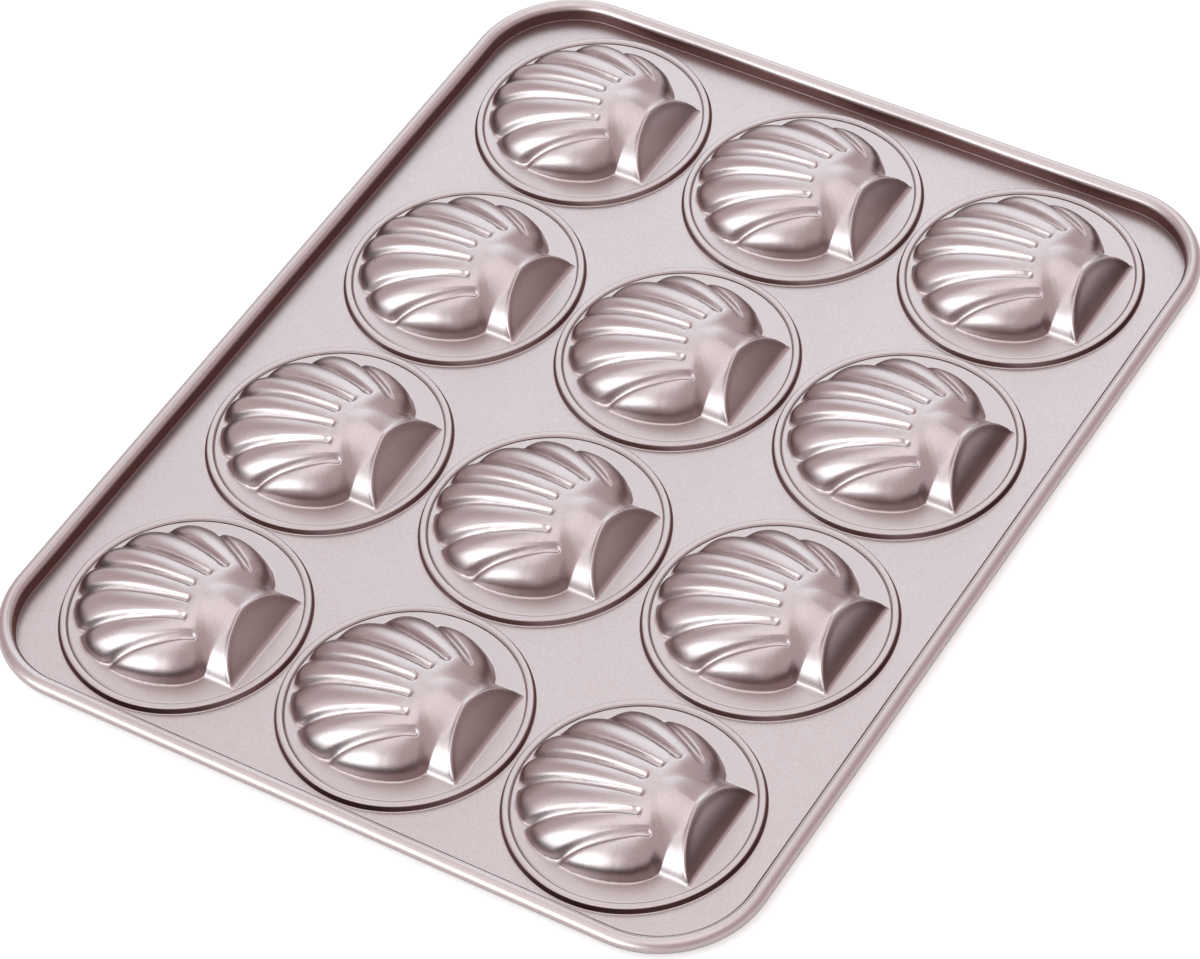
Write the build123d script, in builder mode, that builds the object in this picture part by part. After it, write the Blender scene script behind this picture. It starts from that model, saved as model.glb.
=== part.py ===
# Madeleine pan, lying turned over as photographed: baking side down, underside up.
# Millimetres, +Z up, origin at the middle of the baking face, on the table.
import os
from math import cos, radians, sin, sqrt

from build123d import *

os.makedirs("parts", exist_ok=True)

# Sheet
sheet_thickness = 0.7

# Moulds in the panel
columns = 3
rows = 4
mould_spacing = 80.0
plateau_gap = 1.2
plateau_height = 2.0
plateau_flare = 0.8
ring_width = 2.0
ring_step = 0.4

# Rolled rim, and the flat strips between it and the outer plateaus
side_flat = 6.4
end_flat = 1.5
corner_radius = 34.0
roll_diameter = 5.2
rim_height = 6.8
bend_radius = 2.0
wire_clearance = 0.05
roll_end_angle = -115.0

# Shell
crown_height = 16.0
facet_height = 12.4
facet_run = 6.4

# Plan of the shell as shares of the ring's inner radius, hinge toward +X.
crown_share = 0.25
hinge_reach_share = 0.814
hinge_half_width_share = 0.516

# Half the fan, from its middle groove outward: where each groove opens at the foot,
# where it ends near the crown, and that end's height as a share of the crown's.
mouth_shares = [(-0.91, 0.0), (-0.842, 0.279), (-0.587, 0.587), (-0.227, 0.787), (0.56, 0.533)]
tip_shares = [(0.137, 0.0), (0.186, 0.158), (0.254, 0.314), (0.396, 0.41), (0.48, 0.36)]
tip_height_shares = [0.97, 0.96, 0.91, 0.79, 0.79]
apex_shares = [(-0.962, 0.128), (-0.797, 0.464), (-0.478, 0.746), (-0.027, 0.826)]

# Behind the fan the crown falls to the hinge: its foot and its top, inside the neck.
hinge_foot_share = (0.68, 0.0)
hinge_top_share = (0.64, 0.0)
hinge_top_height_share = 0.775

# Corners of the flats round a lobe: along its chord, and out as a share of its bulge.
flat_shares = [(0.0, 0.0), (0.16, 0.66), (0.5, 1.0), (0.84, 0.66)]

# Course of a rib from foot to top: share of the way in, and share of the height
# that the crest of a lobe and the floor of a groove have reached there.
course_shares = [
    (0.0, 0.0, 0.0),
    (0.06, 0.25, 0.12),
    (0.2, 0.53, 0.41),
    (0.42, 0.77, 0.66),
    (0.7, 0.92, 0.83),
    (1.0, 1.0, 0.95),
]

plateau_foot_radius = (mould_spacing - plateau_gap) / 2
plateau_top_radius = plateau_foot_radius - plateau_flare
ring_inner_radius = plateau_top_radius - ring_width
ring_top = sheet_thickness + plateau_height
floor_top = ring_top - ring_step
hinge_reach = hinge_reach_share * ring_inner_radius
hinge_half_width = hinge_half_width_share * ring_inner_radius
crown_place = Vector(crown_share * ring_inner_radius, 0)
rim_reach = plateau_foot_radius + bend_radius + roll_diameter
pan_width = (columns - 1) * mould_spacing + 2 * (rim_reach + side_flat)
pan_length = (rows - 1) * mould_spacing + 2 * (rim_reach + end_flat)


def plan_point(share):
    return Vector(*share) * ring_inner_radius


def raised(point, height):
    return Vector(point.X, point.Y, height)


def ribs(inset):
    # Lines of the dome from foot to top: both ends, and how full the lobe is there.
    mouths = [plan_point(share) for share in mouth_shares]
    tip_heights = [share * crown_height for share in tip_height_shares]
    tips = [raised(plan_point(share), height) for share, height in zip(tip_shares, tip_heights)]
    half = []
    for start, end, tip, next_tip, apex_share in zip(mouths, mouths[1:], tips, tips[1:], apex_shares):
        chord = end - start
        outward = Vector(-chord.Y, chord.X).normalized()
        bulge = (plan_point(apex_share) - start).dot(outward)
        for run, fullness in flat_shares:
            half.append((start + chord * run + outward * bulge * fullness, tip + (next_tip - tip) * run, fullness))
    half.append((mouths[-1], tips[-1], 0.0))
    hinge_top = raised(plan_point(hinge_top_share), hinge_top_height_share * crown_height)
    half.append((plan_point(hinge_foot_share), hinge_top, 1.0))
    half = [(foot - (foot - crown_place).normalized() * inset, top, full) for foot, top, full in half]
    other = [(Vector(foot.X, -foot.Y), Vector(top.X, -top.Y, top.Z), full) for foot, top, full in half]
    return half + other[-2:0:-1]


def dome_body(inset):
    # Closed body of flats: rings of triangles up the ribs, and a fan of them at the crown.
    rings = []
    for way_in, crest, valley in course_shares:
        ring = []
        for foot, top, fullness in ribs(inset):
            rise = valley + (crest - valley) * fullness
            ring.append(raised(foot + (top - foot) * way_in, rise * (top.Z - inset)))
        rings.append(ring)
    peak = raised(crown_place, crown_height - inset)
    corners = [rings[0]]
    for lower, upper in zip(rings, rings[1:]):
        lower_ends, upper_ends = lower[1:] + lower[:1], upper[1:] + upper[:1]
        for start, end, above, above_end in zip(lower, lower_ends, upper, upper_ends):
            corners += [(start, end, above_end), (start, above_end, above)]
    for start, end in zip(rings[-1], rings[-1][1:] + rings[-1][:1]):
        corners.append((start, end, peak))
    return Solid(Shell([Face(Wire.make_polygon(flat)) for flat in corners]))


def shell_body(inset):
    # Scalloped dome joined by an arched neck, both cut by the slanted plane at the hinge.
    arch_radius = (hinge_half_width**2 + facet_height**2) / (2 * facet_height)
    arch_centre = facet_height - arch_radius
    half_width = sqrt((arch_radius - inset) ** 2 - arch_centre**2)
    lean = Vector(facet_height, 0, facet_run).normalized()
    with BuildPart() as body:
        add(dome_body(inset))
        with BuildSketch(Plane.YZ.offset(crown_place.X)):
            with BuildLine():
                ThreePointArc((-half_width, 0), (0, facet_height - inset), (half_width, 0))
                Line((-half_width, 0), (half_width, 0))
            make_face()
        extrude(amount=hinge_reach - crown_place.X)
        split(bisect_by=Plane(Vector(hinge_reach, 0) - lean * inset, z_dir=lean), keep=Keep.BOTTOM)
    return body.part


def save(body, name):
    body.label = name
    export_step(body, f"parts/{name}.step")


# One shell mould: the round floor of its plateau and the hollow shell that rises from it.
inner_shell = shell_body(sheet_thickness)
mouth_face = inner_shell.faces().sort_by(Axis.Z)[0]
with BuildPart() as mould:
    with BuildSketch():
        Circle(ring_inner_radius)
    extrude(amount=-sheet_thickness)
    add(shell_body(0))
    add(inner_shell, mode=Mode.SUBTRACT)
    extrude(to_extrude=mouth_face, amount=sheet_thickness, dir=(0, 0, -1), mode=Mode.SUBTRACT)

mould_places = GridLocations(mould_spacing, mould_spacing, columns, rows).locations
for number, place in enumerate(mould_places, start=1):
    save(place * Pos(0, 0, floor_top) * mould.part, f"shell_mould_{number}")

# Flat panel with the raised ring round each mould's floor.
roll_radius = roll_diameter / 2
panel_width = pan_width - 2 * (roll_diameter + bend_radius)
panel_length = pan_length - 2 * (roll_diameter + bend_radius)
panel_corner = corner_radius - roll_diameter - bend_radius
with BuildPart() as ring:
    with BuildSketch(Plane.XZ):
        with BuildLine():
            Polyline(
                (ring_inner_radius, ring_top - sheet_thickness),
                (plateau_top_radius - sheet_thickness, ring_top - sheet_thickness),
                (plateau_foot_radius - sheet_thickness, 0),
                (plateau_foot_radius, 0),
                (plateau_foot_radius, sheet_thickness),
                (plateau_top_radius, ring_top),
                (ring_inner_radius, ring_top),
                close=True,
            )
        make_face()
    revolve(axis=Axis.Z)
with BuildPart() as panel:
    with BuildSketch():
        RectangleRounded(panel_width, panel_length, panel_corner)
        with Locations(mould_places):
            Circle(plateau_foot_radius - sheet_thickness, mode=Mode.SUBTRACT)
    extrude(amount=sheet_thickness)
    with Locations(mould_places):
        add(ring.part)
save(panel.part, "panel")

# Rolled rim: the sheet bends up, and its edge is rolled outward over a wire.
roll_centre_height = rim_height - roll_radius
wire_radius = roll_radius - sheet_thickness
path_width = pan_width - roll_diameter
path_length = pan_length - roll_diameter
path_corner = corner_radius - roll_radius
with BuildSketch(Plane.XY.offset(roll_centre_height)) as rim_path:
    RectangleRounded(path_width, path_length, path_corner)
roll_path = rim_path.sketch.wires()[0]
roll_centre = (path_width / 2, 0, roll_centre_height)
rim_plane = Plane(origin=roll_centre, x_dir=(1, 0, 0), z_dir=(0, -1, 0))
end_angle = radians(roll_end_angle)
wall_face = -roll_radius
bend_foot = wall_face - bend_radius
bend_bottom = -roll_centre_height
bend_top = bend_bottom + sheet_thickness
bend_end = bend_top + bend_radius
with BuildPart() as rolled_rim:
    with BuildSketch(rim_plane):
        with BuildLine():
            RadiusArc((bend_foot, bend_top), (wall_face, bend_end), -bend_radius)
            Line((wall_face, bend_end), (wall_face, 0))
            ThreePointArc((wall_face, 0), (0, roll_radius), (roll_radius, 0))
            outer_end = (roll_radius * cos(end_angle), roll_radius * sin(end_angle))
            RadiusArc((roll_radius, 0), outer_end, roll_radius)
            inner_end = (wire_radius * cos(end_angle), wire_radius * sin(end_angle))
            Line(outer_end, inner_end)
            RadiusArc(inner_end, (wire_radius, 0), -wire_radius)
            ThreePointArc((wire_radius, 0), (0, wire_radius), (-wire_radius, 0))
            Line((-wire_radius, 0), (-wire_radius, bend_end))
            RadiusArc((-wire_radius, bend_end), (bend_foot, bend_bottom), bend_radius + sheet_thickness)
            Line((bend_foot, bend_bottom), (bend_foot, bend_top))
        make_face()
    sweep(path=roll_path)
save(rolled_rim.part, "rolled_rim")

# Stiffening wire inside the roll.
with BuildPart() as rim_wire:
    with BuildSketch(rim_plane):
        Circle(wire_radius - wire_clearance)
    sweep(path=roll_path)
save(rim_wire.part, "rim_wire")
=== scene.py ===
import math

import bpy
import numpy as np
from mathutils import Euler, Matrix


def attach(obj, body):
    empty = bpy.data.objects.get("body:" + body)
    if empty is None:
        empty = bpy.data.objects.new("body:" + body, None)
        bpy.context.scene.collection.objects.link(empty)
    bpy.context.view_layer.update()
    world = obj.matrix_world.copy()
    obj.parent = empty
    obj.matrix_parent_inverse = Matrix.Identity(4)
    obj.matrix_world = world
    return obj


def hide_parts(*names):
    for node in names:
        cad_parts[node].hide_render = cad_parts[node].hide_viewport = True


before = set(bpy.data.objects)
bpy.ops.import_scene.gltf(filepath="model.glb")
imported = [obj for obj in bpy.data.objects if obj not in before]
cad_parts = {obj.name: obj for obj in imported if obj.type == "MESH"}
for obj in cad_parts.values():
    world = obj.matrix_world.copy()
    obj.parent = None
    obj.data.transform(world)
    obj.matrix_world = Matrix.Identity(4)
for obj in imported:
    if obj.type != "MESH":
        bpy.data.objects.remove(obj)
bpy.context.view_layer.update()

# Shell moulds: twelve hollow pressings in the pan's one steel sheet. A punch draws each as a
# fan of eight lobes parted by seven narrow grooves, which ends at an arched neck and the flat
# slanted face where a shell has its hinge. Lengths are in millimetres.
MM = 0.001
SHEET = 0.7
SPACING = 80.0
COLUMNS, ROWS = 3, 4

# The dome: its crown, and the round floor that it stands on.
CROWN_X, CROWN_Z = 8.0, 16.0
FLOOR_R, FLOOR_Z = 36.6, 2.3
# Directions are in degrees, from the hinge side. Past SIDE_END the dome's side becomes its fan.
SIDE_END, FAN_TURN = 95, 50
# From crown to foot the height follows one power of the reach, and one of what is then left.
FALL, SIDE_FALL = 2.2, 0.3
ROUND, SIDE_ROUND = 0.58, 0.08
# Past its foot the dome drops steeply under the floor.
BELOW_FOOT = 60
# Towards the neck the dome dips.
DIP, DIP_START, DIP_TURN = 3.0, 78, 40
# Plan of the dome round its crown: direction, and reach of the foot.
reach_by_angle = [
    (0, 22.0), (20, 20.6), (40, 19.2), (50, 20.2), (57, 21.9), (63, 23.8), (74, 25.9), (86, 27.6),
    (96, 29.3), (105, 31.0), (113.4, 32.9), (123, 35.4), (133, 37.5), (144, 39.3), (155, 41.1),
    (165, 42.6), (173.8, 43.5), (180, 43.5),
]
angle_keys, reach_keys = np.array(reach_by_angle).T

# One groove on the centre line and three on each side: rounded inner end, and mouth at the foot.
grooves = [
    ((5.0, 0.0), (-33.3, 0.0)),
    ((6.8, 5.8), (-30.8, 10.2)),
    ((9.3, 11.5), (-21.5, 21.5)),
    ((14.5, 15.0), (-8.3, 28.8)),
]
GROOVE_DEPTH, GROOVE_HALF, GROOVE_POWER = 1.2, 1.12, 4
# The lobes swell between the grooves: a little at their inner ends, most at the foot.
TIP_SWELL, TIP_SHARE = 0.15, 0.1
MIDDLE_SWELL, MIDDLE_SHARE = 1.1, 0.5
FOOT_SWELL, FOOT_SHARE = 2.1, 1.15
LOBE_LEAST, LOBE_MOST, SIDE_LOBE = 1.5, 9, 8.5

# The neck: an arch that rises from the facet to the crown, cut off by the slanted facet. It
# falls away past its half width and behind the crown, and a low bead runs along the facet.
HINGE_X = 29.8
FACET_TOP, FACET_RUN, FACET_EDGE = 12.4, 6.4, 0.4
ARCH_R, ARCH_LEAST = 20.6, 1.0
NECK_Z, NECK_RUN = CROWN_Z - 1.5, 15
NECK_HALF, NECK_SIDE_FALL = 19.5, 3
NECK_BACK, NECK_BACK_FALL = 16, 0.06
NECK_BLEND = 4.0
BEAD, BEAD_HALF, BEAD_RISE = 0.5, 1.4, 1.5


def higher(a, b, soft):
    # The higher of two surfaces, blended where they lie within soft of each other.
    return np.maximum(a, b) + np.maximum(soft - np.abs(a - b), 0) ** 2 / (4 * soft)


def lower(a, b, soft):
    # The lower of two surfaces, blended in the same way.
    return -higher(-a, -b, soft)


def smooth(share):
    # Rises from 0 to 1 with a level start and end.
    share = np.clip(share, 0, 1)
    return share * share * (3 - 2 * share)


def dome_height(x, y):
    angle = np.degrees(np.arctan2(y, x - CROWN_X))
    share = np.hypot(x - CROWN_X, y) / np.interp(angle, angle_keys, reach_keys)
    side = 1 - smooth((angle - SIDE_END) / FAN_TURN)
    inside = np.clip(1 - share ** (FALL + SIDE_FALL * side), 0, 1)
    dome = CROWN_Z * inside ** (ROUND - SIDE_ROUND * side) - BELOW_FOOT * np.maximum(share - 1, 0)
    return dome - DIP * smooth((DIP_START - angle) / DIP_TURN) * np.clip(share, 0, 1) ** 2


def fan_depth(x, y):
    # How far the grooves, and the round lobes between them, lie below the dome.
    acrosses = []
    alongs = []
    cuts = []
    for inner_end, mouth in grooves:
        inner_end, mouth = np.array(inner_end), np.array(mouth)
        length = np.hypot(*(mouth - inner_end))
        unit = (mouth - inner_end) / length
        along = ((x - inner_end[0]) * unit[0] + (y - inner_end[1]) * unit[1]) / length
        across = (x - inner_end[0]) * unit[1] - (y - inner_end[1]) * unit[0]
        from_line = np.hypot(across, np.maximum(-along * length, 0))
        cuts.append(GROOVE_DEPTH * np.exp(-((from_line / GROOVE_HALF) ** GROOVE_POWER)))
        acrosses.append(across)
        alongs.append(along)
    swell = np.zeros_like(x)
    for i, (across, along) in enumerate(zip(acrosses, alongs)):
        deep = TIP_SWELL * smooth(along / TIP_SHARE) + MIDDLE_SWELL * smooth(along / MIDDLE_SHARE)
        deep = deep + FOOT_SWELL * np.clip(along, 0, FOOT_SHARE) ** 3
        last = i + 1 == len(grooves)
        outer = np.full_like(x, SIDE_LOBE) if last else np.abs(acrosses[i + 1] - across) / 2
        inner = np.abs(across - acrosses[i - 1]) / 2 if i else outer
        half = np.clip(np.where(across < 0, inner, outer), LOBE_LEAST, LOBE_MOST)
        swell = np.maximum(swell, deep * np.clip(1 - np.abs(across) / half, 0, 1) ** 2)
    return swell + np.max(cuts, axis=0)


def press(x, y):
    # Height of the pressed shell above its floor, before the foot is rounded off.
    y = np.abs(y)
    dome = dome_height(x, y) - fan_depth(x, y)
    arch = (np.sqrt(np.maximum(ARCH_R**2 - y**2, ARCH_LEAST)) - (ARCH_R - FACET_TOP)) / FACET_TOP
    neck = arch * (FACET_TOP + (NECK_Z - FACET_TOP) * (1 - smooth((x - CROWN_X) / NECK_RUN)))
    neck = neck - NECK_SIDE_FALL * np.maximum(y - NECK_HALF, 0)
    neck = neck - NECK_BACK_FALL * np.maximum(NECK_BACK - x, 0) ** 2
    body = higher(dome, neck, NECK_BLEND)
    facet = (HINGE_X - x) * FACET_TOP / FACET_RUN
    bead = BEAD * np.exp(-(((body - facet) / BEAD_HALF) ** 2)) * smooth(body / BEAD_RISE)
    return lower(body, facet, FACET_EDGE) + bead


# The blank starts as a square grid, whose nested squares of points become rings.
GRID = 160
RINGS = GRID // 2
FOOT_ROUND = 1.6
TURN_STEPS, LINE_STEPS = 720, 800
# A place gets its share of the rings by how much the sheet bends there, up to BEND_MOST and
# blurred over BLUR steps. A flat place still counts as FLAT_WEIGHT.
FLAT_WEIGHT, BEND_MOST = 0.45, 1.4
BLUR = 25
EDGE_SHARE = 0.02


def ring_places(turns):
    # How far each ring lies from the crown along each turn. Rings lie closer together
    # wherever the sheet bends, so its edges stay crisp.
    edge = -CROWN_X * np.cos(turns) + np.sqrt(FLOOR_R**2 - (CROWN_X * np.sin(turns)) ** 2)
    away = edge[:, None] * np.linspace(0, 1, LINE_STEPS + 1)
    x = CROWN_X + away * np.cos(turns)[:, None]
    y = away * np.sin(turns)[:, None]
    height = higher(press(x, y), 0.0, FOOT_ROUND)
    step = edge[:, None] / LINE_STEPS
    slope = np.gradient(height, axis=1) / step
    bend = np.abs(np.gradient(slope, axis=1) / step) / (1 + slope**2) ** 1.5
    bend = np.minimum(bend, BEND_MOST)
    window = np.hanning(BLUR) / np.hanning(BLUR).sum()
    bend = np.apply_along_axis(np.convolve, 1, bend, window, "same")
    margin = BLUR // 2
    wrapped = np.concatenate([bend[-margin - 1 : -1], bend, bend[1 : margin + 1]])
    bend = np.apply_along_axis(np.convolve, 0, wrapped, window, "valid")
    weight = (FLAT_WEIGHT + bend) * step * np.sqrt(1 + slope**2)
    filled = np.cumsum(weight, axis=1) - weight[:, :1]
    filled = filled / filled[:, -1:]
    levels = np.arange(RINGS + 1) / RINGS
    return np.array([np.interp(levels, row, places) for row, places in zip(filled, away)])


def get_points(thing):
    flat = np.empty(len(thing.data.vertices) * 3)
    thing.data.vertices.foreach_get("co", flat)
    return flat.reshape(-1, 3)


def set_points(thing, points):
    thing.data.vertices.foreach_set("co", points.ravel())
    thing.data.update()


def shell_blank():
    # Draws the grid out to a round sheet about the crown, and presses it to the shell's height.
    bpy.ops.object.select_all(action="DESELECT")
    bpy.ops.mesh.primitive_grid_add(x_subdivisions=GRID, y_subdivisions=GRID, size=2)
    blank = bpy.context.object
    a, b = get_points(blank)[:, :2].T
    wide = np.abs(a) > np.abs(b)
    ring = np.where(wide, a, b)
    eighth = math.pi / 4
    turn_wide = eighth * b / np.where(wide, a, 1)
    turn_tall = math.pi / 2 - eighth * a / np.where(ring == 0, 1, ring)
    turn = np.where(wide, turn_wide, turn_tall)
    turn = np.where(ring < 0, turn + math.pi, turn)
    turn = (turn + math.pi) % math.tau - math.pi
    ring = np.abs(ring)
    away = ring_places(np.linspace(-math.pi, math.pi, TURN_STEPS + 1))
    spot = (turn + math.pi) / math.tau * TURN_STEPS
    low = np.clip(np.floor(spot).astype(int), 0, TURN_STEPS - 1)
    level = np.rint(ring * RINGS).astype(int)
    distance = away[low, level] * (1 - (spot - low)) + away[low + 1, level] * (spot - low)
    x = CROWN_X + distance * np.cos(turn)
    y = distance * np.sin(turn)
    z = higher(press(x, y), 0.0, FOOT_ROUND) * smooth((1 - ring) / EDGE_SHARE)
    set_points(blank, np.stack([x, y, z + FLOOR_Z], 1) * MM)
    return blank


# The coat is a baked champagne non-stick film full of fine aluminium and mica flakes. To the
# eye it mirrors the room softly, like satin, and glitters a little from grain to grain. Where
# one part of the pan is seen reflected in another, the coat is painted a dimmer, warmer colour:
# painted shade that darkens the reflections in the pan's folds.
COAT = "#CEC5C5"
COAT_DEEP = "#C2B4B3"
# Painted shade: the shells' colour where they are seen reflected in another part of the pan.
SHELLS_REFLECTION_SHADE = "#B9AAA9"
GRAIN_MM, CLOUD_MM = 0.45, 22.0
SATIN_LEAST, SATIN_MOST = 0.30, 0.34
# A noise seldom leaves this range, so the range is stretched over the whole effect.
NOISE_LOW, NOISE_HIGH = 0.3, 0.7
GRAIN_DEPTH, GRAIN_SHOWN = 0.04, 0.35


def linear(code):
    # Turns an sRGB hex colour to the linear values that a socket takes.
    channels = [int(code[i : i + 2], 16) / 255 for i in (1, 3, 5)]
    return tuple(c / 12.92 if c <= 0.04045 else ((c + 0.055) / 1.055) ** 2.4 for c in channels) + (1.0,)


def node(tree, kind, settings=None, **sockets):
    # Adds one node, sets its properties, and fills or links its sockets by name, or by
    # number where the name starts with an underscore.
    new = tree.nodes.new(kind)
    for key, value in (settings or {}).items():
        setattr(new, key, value)
    for key, value in sockets.items():
        numbered = key[1:].isdigit()
        socket = new.inputs[int(key[1:]) if numbered else key.replace("_", " ")]
        if isinstance(value, bpy.types.NodeSocket):
            tree.links.new(value, socket)
        else:
            socket.default_value = value
    return new


def bare_tree(holder):
    holder.use_nodes = True
    holder.node_tree.nodes.clear()
    return holder.node_tree


def coated_steel(name, reflection_shade):
    material = bpy.data.materials.new(name)
    tree = bare_tree(material)
    place = node(tree, "ShaderNodeTexCoord").outputs["Object"]
    grain = node(
        tree,
        "ShaderNodeTexNoise",
        Vector=place,
        Scale=1 / (GRAIN_MM * MM),
        Detail=2.0,
        Roughness=0.6,
    )
    cloud = node(tree, "ShaderNodeTexNoise", Vector=place, Scale=1 / (CLOUD_MM * MM), Detail=3.0)
    speck = node(
        tree,
        "ShaderNodeMapRange",
        Value=grain.outputs["Fac"],
        From_Min=NOISE_LOW,
        From_Max=NOISE_HIGH,
    )
    film = node(
        tree,
        "ShaderNodeMix",
        {"data_type": "RGBA"},
        _0=speck.outputs[0],
        _6=linear(COAT_DEEP),
        _7=linear(COAT),
    )
    # Painted shade: seen reflected in another part of the pan, the coat takes the darker colour.
    bounce = node(tree, "ShaderNodeLightPath")
    colour = node(
        tree,
        "ShaderNodeMix",
        {"data_type": "RGBA"},
        _0=bounce.outputs["Is Glossy Ray"],
        _6=film.outputs[2],
        _7=linear(reflection_shade),
    )
    satin = node(
        tree,
        "ShaderNodeMapRange",
        Value=cloud.outputs["Fac"],
        From_Min=NOISE_LOW,
        From_Max=NOISE_HIGH,
        To_Min=SATIN_LEAST,
        To_Max=SATIN_MOST,
    )
    bump = node(
        tree,
        "ShaderNodeBump",
        Height=grain.outputs["Fac"],
        Strength=GRAIN_SHOWN,
        Distance=GRAIN_DEPTH * MM,
    )
    shader = node(
        tree,
        "ShaderNodeBsdfPrincipled",
        Base_Color=colour.outputs[2],
        Roughness=satin.outputs[0],
        Normal=bump.outputs["Normal"],
        Metallic=1.0,
    )
    node(tree, "ShaderNodeOutputMaterial", Surface=shader.outputs[0])
    return material


shell_coat = coated_steel("champagne_nonstick_on_shells", SHELLS_REFLECTION_SHADE)
blank = shell_blank()
bpy.ops.object.shade_smooth()
wall = blank.modifiers.new("sheet", "SOLIDIFY")
wall.thickness = SHEET * MM
wall.offset = -1
bpy.ops.object.modifier_apply(modifier="sheet")
places = [
    ((column - (COLUMNS - 1) / 2) * SPACING, (row - (ROWS - 1) / 2) * SPACING)
    for column in range(COLUMNS)
    for row in range(ROWS)
]
for number, (x, y) in enumerate(places, start=1):
    mould = blank.copy()
    mould.data = blank.data.copy()
    mould.name = f"pressed_shell_{number}"
    bpy.context.collection.objects.link(mould)
    set_points(mould, get_points(mould) + np.array([x, y, 0]) * MM)
    mould.data.materials.clear()
    mould.data.materials.append(shell_coat)
    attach(mould, "root")
    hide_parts(f"shell_mould_{number}")
bpy.data.objects.remove(blank)

# Panel: the flat of the same coated steel sheet. The press raises it round every mould in a
# low plateau with a stepped ring, and leaves small radii on top and at the plateau's foot.
PLATEAU_R, RING_TOP = 38.6, 2.7
TOP_BEND, STEP_BEND, STEP_RUN = 0.6, 0.2, 0.45
FOOT_BEND, FLARE = 0.35, 1.05
# Underneath, the plateau's wall runs out into the flat from UNDER_Z down.
UNDER_IN, UNDER_OUT, UNDER_Z = 0.15, 0.6, 0.5
HOLE_R = 39.92
# The flat ends where the sheet bends up into the curl, whose middle line these give.
RIM_X, RIM_Y, RIM_CORNER = 130.4, 165.5, 31.4
ROLL_R, RIM_BEND = 2.6, 0.1
FLAT_END = ROLL_R + RIM_BEND
FLAT_X, FLAT_Y, FLAT_CORNER = RIM_X - FLAT_END, RIM_Y - FLAT_END, RIM_CORNER - FLAT_END
# Turned and swept bodies: points in a full turn, points in a corner, and what is one point.
FULL_TURN, CORNER_TURN = 144, 24
SAME_POINT = 0.002
# An edge flatter than this, in degrees, is shaded smooth.
PANEL_SMOOTH = 35
# Painted shade: the flat's and rim's much darker colour where they are seen reflected in another part
# of the pan, which darkens the folds at the rim and the plateaus.
FLAT_REFLECTION_SHADE = "#684744"


def arc(middle_x, middle_z, radius, start, end, count):
    # Points of an arc, from one direction to another in degrees.
    turns = [math.radians(start + (end - start) * i / count) for i in range(count + 1)]
    return [(middle_x + radius * math.cos(turn), middle_z + radius * math.sin(turn)) for turn in turns]


def drawn_line(line, name):
    # A closed line in the XZ plane as a new object, in edit mode with all of it selected.
    mesh = bpy.data.meshes.new(name)
    points = [(x * MM, 0.0, z * MM) for x, z in line]
    edges = [(i, (i + 1) % len(points)) for i in range(len(points))]
    mesh.from_pydata(points, edges, [])
    drawn = bpy.data.objects.new(name, mesh)
    bpy.context.collection.objects.link(drawn)
    bpy.ops.object.select_all(action="DESELECT")
    bpy.context.view_layer.objects.active = drawn
    drawn.select_set(True)
    bpy.ops.object.mode_set(mode="EDIT")
    bpy.ops.mesh.select_all(action="SELECT")
    return drawn


def close_body():
    # Merges the seam of the body in edit mode, and turns its faces outwards.
    bpy.ops.mesh.select_all(action="SELECT")
    bpy.ops.mesh.remove_doubles(threshold=SAME_POINT * MM)
    bpy.ops.mesh.normals_make_consistent(inside=False)
    bpy.ops.object.mode_set(mode="OBJECT")


ring_line = (
    [(HOLE_R, SHEET)]
    + arc(PLATEAU_R + FLARE, SHEET + FOOT_BEND, FOOT_BEND, 268, 195, 5)
    + arc(PLATEAU_R - TOP_BEND / 2, RING_TOP - TOP_BEND, TOP_BEND, 20, 90, 6)
    + arc(FLOOR_R + STEP_RUN, RING_TOP - STEP_BEND, STEP_BEND, 90, 180, 4)
    + [(FLOOR_R, FLOOR_Z)]
)
under_line = [
    (FLOOR_R, FLOOR_Z - SHEET),
    (FLOOR_R + 2 * STEP_RUN, RING_TOP - SHEET),
    (PLATEAU_R - SHEET, RING_TOP - SHEET),
    (PLATEAU_R - UNDER_IN, UNDER_Z),
    (PLATEAU_R + UNDER_OUT, 0.0),
    (HOLE_R, 0.0),
]
ring = drawn_line(ring_line + under_line, "plateau_ring")
bpy.ops.mesh.spin(steps=FULL_TURN, angle=math.tau, center=(0, 0, 0), axis=(0, 0, 1))
close_body()
rings = []
for x, y in places:
    one = ring.copy()
    one.data = ring.data.copy()
    bpy.context.collection.objects.link(one)
    one.location = (x * MM, y * MM, 0)
    rings.append(one)
bpy.data.objects.remove(ring)

# The flat itself is a filled outline with twelve round holes, as thick as the sheet.
curve = bpy.data.curves.new("flat", "CURVE")
curve.dimensions = "2D"
curve.fill_mode = "BOTH"
curve.extrude = SHEET / 2 * MM


def outline(points):
    spline = curve.splines.new("POLY")
    spline.points.add(len(points) - 1)
    for point, (x, y) in zip(spline.points, points):
        point.co = (x * MM, y * MM, 0, 1)
    spline.use_cyclic_u = True


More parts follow.
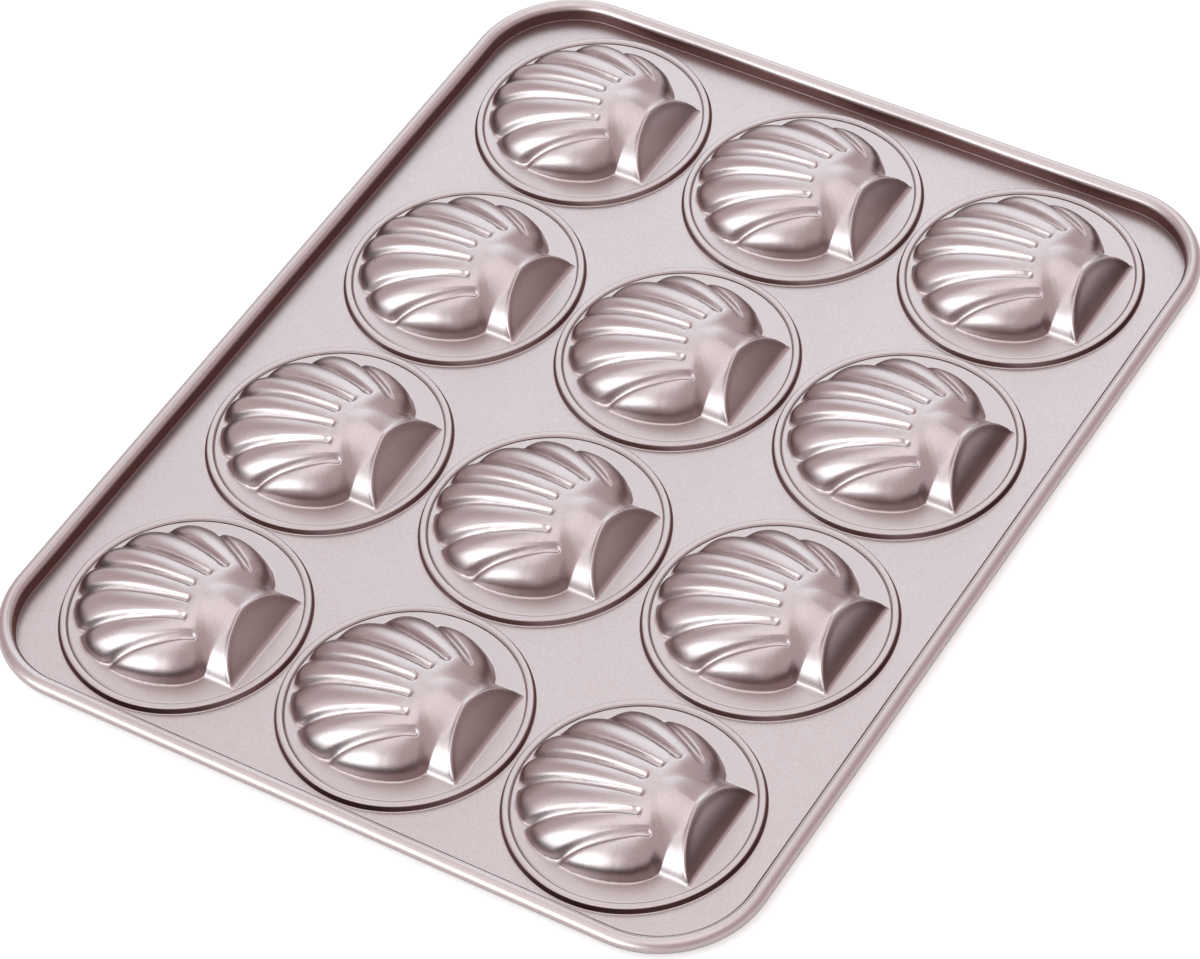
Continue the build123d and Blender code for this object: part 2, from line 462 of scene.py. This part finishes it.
border = []
for side_x, side_y, start in ((1, 1, 0), (-1, 1, 90), (-1, -1, 180), (1, -1, 270)):
    middle_x = side_x * (FLAT_X - FLAT_CORNER)
    middle_y = side_y * (FLAT_Y - FLAT_CORNER)
    border += arc(middle_x, middle_y, FLAT_CORNER, start, start + 90, CORNER_TURN)
outline(border)
for x, y in places:
    outline(arc(x, y, HOLE_R, 0, 360, FULL_TURN)[:-1])
flat = bpy.data.objects.new("flat", curve)
bpy.context.collection.objects.link(flat)
bpy.ops.object.select_all(action="DESELECT")
bpy.context.view_layer.objects.active = flat
flat.select_set(True)
bpy.ops.object.convert(target="MESH")
flat = bpy.context.object
flat.location.z = SHEET / 2 * MM
for one in rings:
    one.select_set(True)
bpy.ops.object.transform_apply(location=True, rotation=True, scale=True)
bpy.ops.object.join()
panel = bpy.context.object
panel.name = "pressed_panel"
flat_coat = coated_steel("champagne_nonstick_on_flat", FLAT_REFLECTION_SHADE)
panel.data.materials.clear()
panel.data.materials.append(flat_coat)
bpy.ops.object.shade_smooth_by_angle(angle=math.radians(PANEL_SMOOTH))
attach(panel, "root")
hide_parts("panel")

# Rolled rim: the edge of the coated sheet. Past the moulds the sheet bends up, and its edge is
# curled outward over a wire. The curling wheels leave a faint crease along the crest.
ROLL_Z = 4.2
CURL_START, CURL_END = 180, -115
CREASE, CREASE_AT, CREASE_HALF = 0.07, 112, 5
ROLL_STEPS, HOLLOW_STEPS, BEND_STEPS = 72, 30, 10
RIM_SMOOTH = 40
roll = []
for i in range(ROLL_STEPS + 1):
    turn = CURL_START + (CURL_END - CURL_START) * i / ROLL_STEPS
    reach = ROLL_R - CREASE * math.exp(-(((turn - CREASE_AT) / CREASE_HALF) ** 2))
    roll.append((reach * math.cos(math.radians(turn)), reach * math.sin(math.radians(turn))))
bend_middle = (-ROLL_R - RIM_BEND, SHEET + RIM_BEND - ROLL_Z)
section = (
    arc(*bend_middle, RIM_BEND, 270, 360, BEND_STEPS)
    + roll
    + arc(0, 0, ROLL_R - SHEET, CURL_END, CURL_START, HOLLOW_STEPS)
    + arc(*bend_middle, RIM_BEND + SHEET, 360, 270, BEND_STEPS)
)
rolled = drawn_line([(RIM_X + x, ROLL_Z + z) for x, z in section], "curled_rim")
# The section is carried round the pan: half a long side, a corner, a short side, and so on.
inner_x, inner_y = (RIM_X - RIM_CORNER) * MM, (RIM_Y - RIM_CORNER) * MM
runs = [
    ((0, inner_y, 0), (inner_x, inner_y, 0)),
    ((-2 * inner_x, 0, 0), (-inner_x, inner_y, 0)),
    ((0, -2 * inner_y, 0), (-inner_x, -inner_y, 0)),
    ((2 * inner_x, 0, 0), (inner_x, -inner_y, 0)),
]
for move, corner in runs:
    bpy.ops.mesh.extrude_region_move(TRANSFORM_OT_translate={"value": move})
    bpy.ops.mesh.spin(steps=CORNER_TURN, angle=-math.pi / 2, center=corner, axis=(0, 0, 1))
bpy.ops.mesh.extrude_region_move(TRANSFORM_OT_translate={"value": (0, inner_y, 0)})
close_body()
bpy.ops.object.shade_smooth_by_angle(angle=math.radians(RIM_SMOOTH))
rolled.data.materials.append(flat_coat)
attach(rolled, "root")
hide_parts("rolled_rim")

# Rim wire: one drawn steel wire that the sheet's edge is curled over, which stiffens the pan.
# It shows only from below, in the gap of the curl. Its shape is the one of the solids.
WIRE = "#A3A5A8"
DRAW_MM = 1.5
BRIGHT, DULL = 0.25, 0.4
# Bare steel pulled through a die is bright, and in places duller where the die dragged.
wire = bpy.data.materials.new("drawn_steel_wire")
tree = bare_tree(wire)
place = node(tree, "ShaderNodeTexCoord").outputs["Object"]
drag = node(tree, "ShaderNodeTexNoise", Vector=place, Scale=1 / (DRAW_MM * MM), Detail=2.0)
shine = node(tree, "ShaderNodeMapRange", Value=drag.outputs["Fac"], To_Min=BRIGHT, To_Max=DULL)
steel = node(
    tree,
    "ShaderNodeBsdfPrincipled",
    Base_Color=linear(WIRE),
    Roughness=shine.outputs[0],
    Metallic=1.0,
)
node(tree, "ShaderNodeOutputMaterial", Surface=steel.outputs[0])
wire_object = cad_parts["rim_wire"]
wire_object.data.materials.clear()
wire_object.data.materials.append(wire)

# Studio: a plain white table in a dim warm room. Light comes from four soft boxes: a bright
# one low at the front left, a wide one behind, a weak one above the first, and one overhead.
TABLE, TABLE_SIZE, TABLE_Z = "#F2F2F2", 8, -0.0002
TABLE_GLOW = 0.45
WHITE = (1, 1, 1, 1)
bpy.ops.object.select_all(action="DESELECT")
bpy.ops.mesh.primitive_plane_add(size=TABLE_SIZE, location=(0, 0, TABLE_Z))
floor = bpy.context.object
floor.name = "table"
paper = bpy.data.materials.new("white_table")
tree = bare_tree(paper)
seen = node(tree, "ShaderNodeLightPath")
matt = node(tree, "ShaderNodeBsdfDiffuse", Color=linear(TABLE))
glow = node(tree, "ShaderNodeEmission", Color=WHITE, Strength=TABLE_GLOW)
lit = node(tree, "ShaderNodeAddShader", _0=matt.outputs[0], _1=glow.outputs[0])
table = node(
    tree,
    "ShaderNodeMixShader",
    _0=seen.outputs["Is Camera Ray"],
    _1=matt.outputs[0],
    _2=lit.outputs[0],
)
node(tree, "ShaderNodeOutputMaterial", Surface=table.outputs[0])
floor.data.materials.append(paper)

ROOM = (0.66, 0.54, 0.55)
# Each soft box by azimuth, elevation and half its width, in degrees, and its colour.
soft_boxes = [
    (250, 6, 38, (2.5, 2.9, 3.0)),
    (120, 28, 36, (0.75, 0.98, 1.04)),
    (232, 42, 32, (0.5, 0.6, 0.6)),
    (0, 88, 46, (0.7, 0.8, 0.78)),
]
world = bpy.data.worlds.new("studio")
bpy.context.scene.world = world
tree = bare_tree(world)
seen = node(tree, "ShaderNodeLightPath")
ray = node(tree, "ShaderNodeTexCoord").outputs["Generated"]
total = ROOM
for azimuth, elevation, size, tone in soft_boxes:
    turn, rise = math.radians(azimuth), math.radians(elevation)
    aim = (math.cos(rise) * math.cos(turn), math.cos(rise) * math.sin(turn), math.sin(rise))
    near = node(tree, "ShaderNodeVectorMath", {"operation": "DOT_PRODUCT"}, _0=ray, _1=aim)
    fade = node(
        tree,
        "ShaderNodeMapRange",
        {"interpolation_type": "SMOOTHERSTEP"},
        Value=near.outputs["Value"],
        From_Min=math.cos(math.radians(size)),
    )
    box = node(tree, "ShaderNodeVectorMath", {"operation": "SCALE"}, _0=tone, Scale=fade.outputs[0])
    both = node(tree, "ShaderNodeVectorMath", {"operation": "ADD"}, _0=total, _1=box.outputs[0])
    total = both.outputs[0]
around = node(tree, "ShaderNodeBackground", Color=total, Strength=1.0)
white = node(tree, "ShaderNodeBackground", Color=WHITE, Strength=1.0)
mixed = node(
    tree,
    "ShaderNodeMixShader",
    _0=seen.outputs["Is Camera Ray"],
    _1=around.outputs[0],
    _2=white.outputs[0],
)
node(tree, "ShaderNodeOutputWorld", Surface=mixed.outputs[0])

# The camera looks from where the photograph was taken. Its focal length is in the
# photograph's pixels, its place in metres and its turn in degrees.
PHOTO_WIDTH, FOCAL_PIXELS = 1200, 4865.5
SENSOR = 36
CAMERA_PLACE = (0.60596, -0.82775, 1.12125)
CAMERA_TURN = (41.8447, 4.70335, 31.26845)
camera = bpy.data.cameras.new("view")
camera.sensor_width = SENSOR
camera.lens = FOCAL_PIXELS * SENSOR / PHOTO_WIDTH
viewpoint = bpy.data.objects.new("view", camera)
bpy.context.collection.objects.link(viewpoint)
viewpoint.location = CAMERA_PLACE
viewpoint.rotation_euler = Euler([math.radians(turn) for turn in CAMERA_TURN])
bpy.context.scene.camera = viewpoint
bpy.context.scene.view_settings.view_transform = "Standard"
